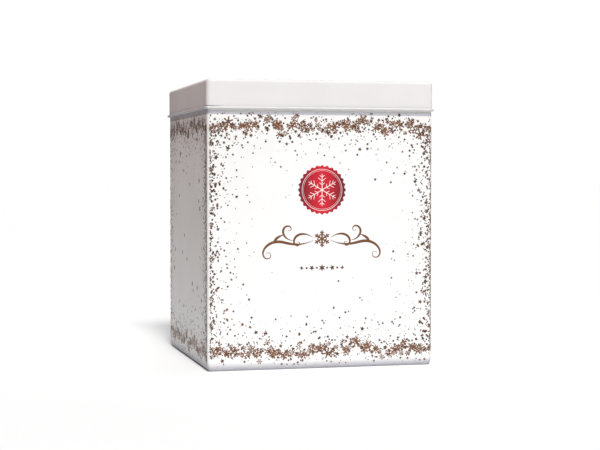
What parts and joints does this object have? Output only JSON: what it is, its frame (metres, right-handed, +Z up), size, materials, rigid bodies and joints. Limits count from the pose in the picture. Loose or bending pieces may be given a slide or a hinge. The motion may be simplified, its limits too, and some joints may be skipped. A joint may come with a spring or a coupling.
{
  "type": "panettone in a tin",
  "caption": "Square white tinplate gift tin with a slip-on curled-edge lid and a star print, holding a panettone in its paper mould and film bag.",
  "frame": {"origin": "on the table, under the middle of the square tin", "axes": "+Z up through the lid, -Y out of the front face, +X to the right as the front is seen"},
  "size_m": [0.1826, 0.1826, 0.2184],
  "materials": {
    "white_lacquer": "white satin lacquer, printed",
    "lid_lacquer": "warm white satin lacquer",
    "bare_tinplate": "bare rolled tinplate",
    "bronze_ink": "satin bronze-brown ink",
    "red_ink": "satin deep red ink",
    "clear_film": "clear glossy film",
    "gold_tie": "metallised gold",
    "mould_paper": "matte brown baking paper",
    "crust": "dry matte baked crust"
  },
  "bodies": {
    "root": {"tin_body": "white_lacquer", "tin_bottom": "bare_tinplate", "tin_lid": "lid_lacquer", "film_bag": "clear_film", "bag_tie": "gold_tie", "baking_mould_wall": "mould_paper", "baking_mould_base": "mould_paper", "panettone": "crust"}
  },
  "joints": []
}
